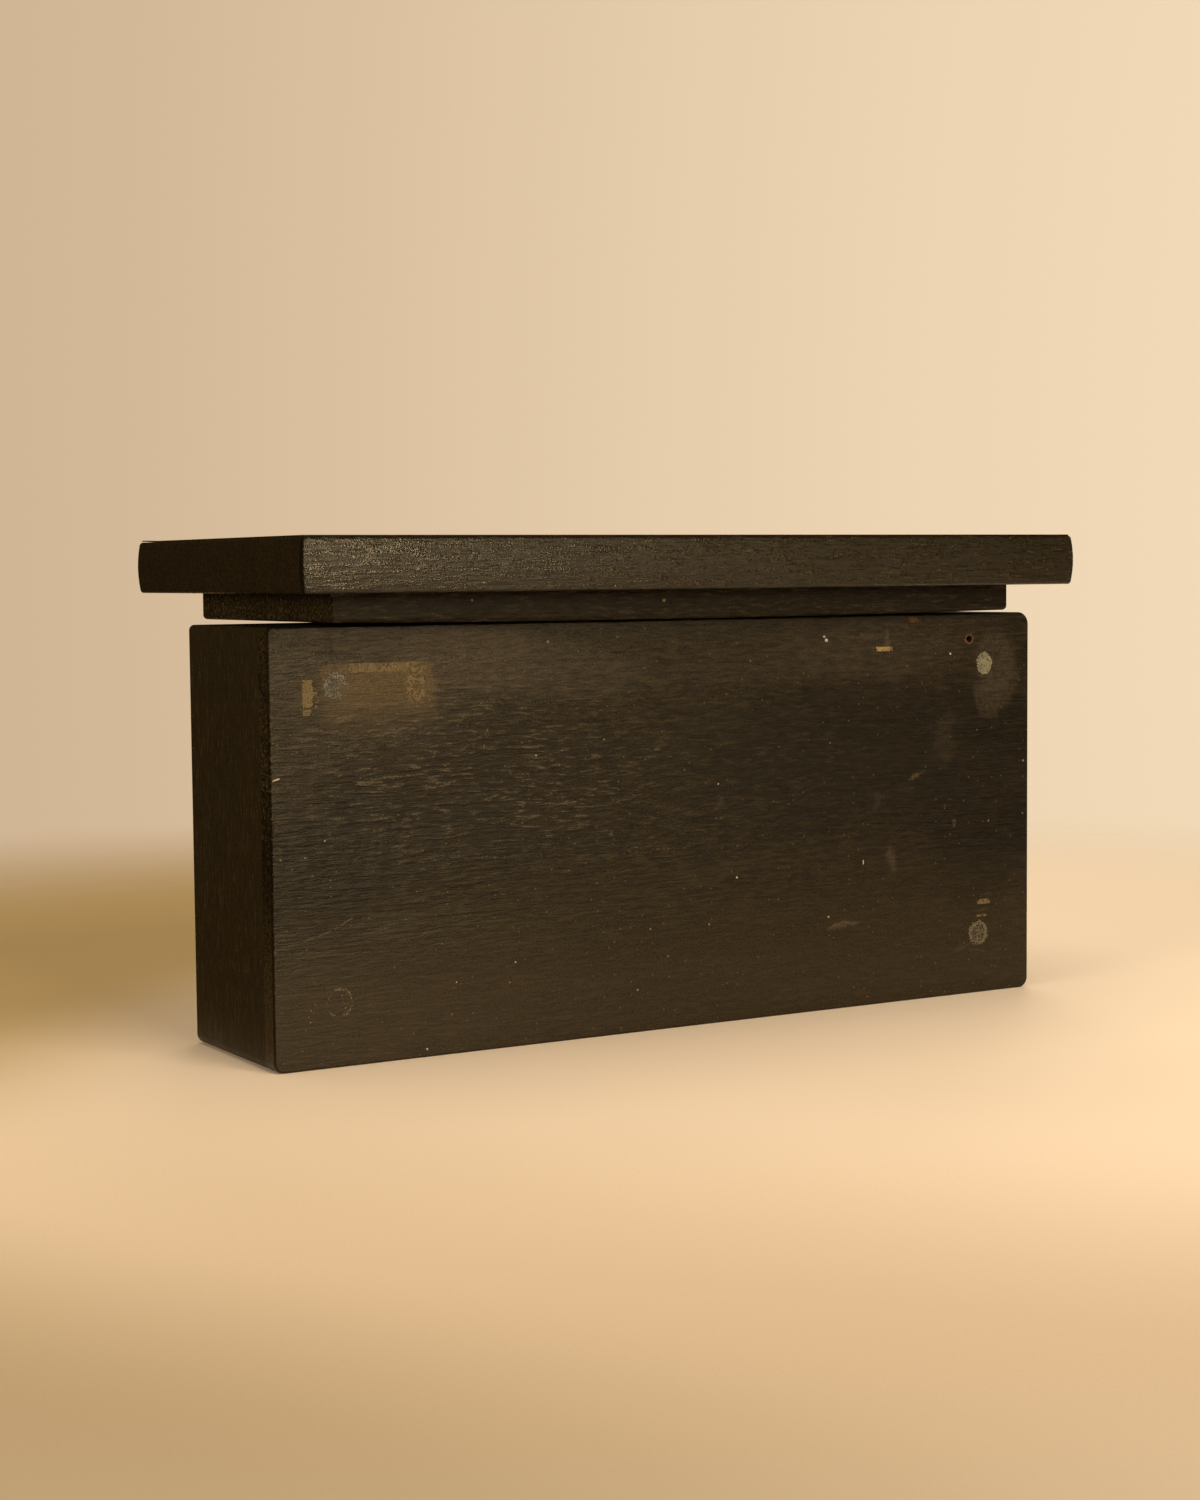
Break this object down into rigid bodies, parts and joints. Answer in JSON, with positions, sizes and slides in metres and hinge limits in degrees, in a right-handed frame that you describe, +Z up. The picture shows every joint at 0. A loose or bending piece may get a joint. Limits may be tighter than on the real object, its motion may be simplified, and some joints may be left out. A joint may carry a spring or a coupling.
{
  "type": "wooden box",
  "caption": "Low rectangular wooden box standing on a long narrow side, open at the back, with its thick stepped lift-off lid laid across the side above.",
  "frame": {"origin": "centre of the outer face of the long narrow side that the box stands on", "axes": "+X along the large faces, +Y towards the open face, +Z up"},
  "size_m": [0.328, 0.15, 0.1806],
  "materials": {
    "box_panel": "black-brown stain, satin, worn",
    "box_sides": "black-brown stain, satin",
    "lid_board": "black-brown stain, satin, worn",
    "lid_plug": "black-brown stain, satin",
    "lid_facing": "thin stained sheet, satin",
    "pins": "blackened iron",
    "pad_blue_grey": "dry adhesive foam, broken",
    "pad_cream": "dry adhesive foam",
    "pad_grey": "thin dry adhesive"
  },
  "bodies": {
    "box": {"bottom_panel": "box_panel", "long_side_upper": "box_sides", "long_side_lower": "box_sides", "short_side_left": "box_sides", "short_side_right": "box_sides", "panel_pins": "pins", "pad_remains_upper_left": "pad_blue_grey", "pad_remains_upper_right": "pad_cream", "pad_remains_lower_right": "pad_grey"},
    "lid": {"lid_board": "lid_board", "lid_plug": "lid_plug", "lid_facing": "lid_facing"}
  },
  "joints": [
    {"name": "lid_lift", "type": "slide", "parent": "box", "child": "lid", "axis": [0, 0, 1], "range_m": [0, 0.12]}
  ]
}
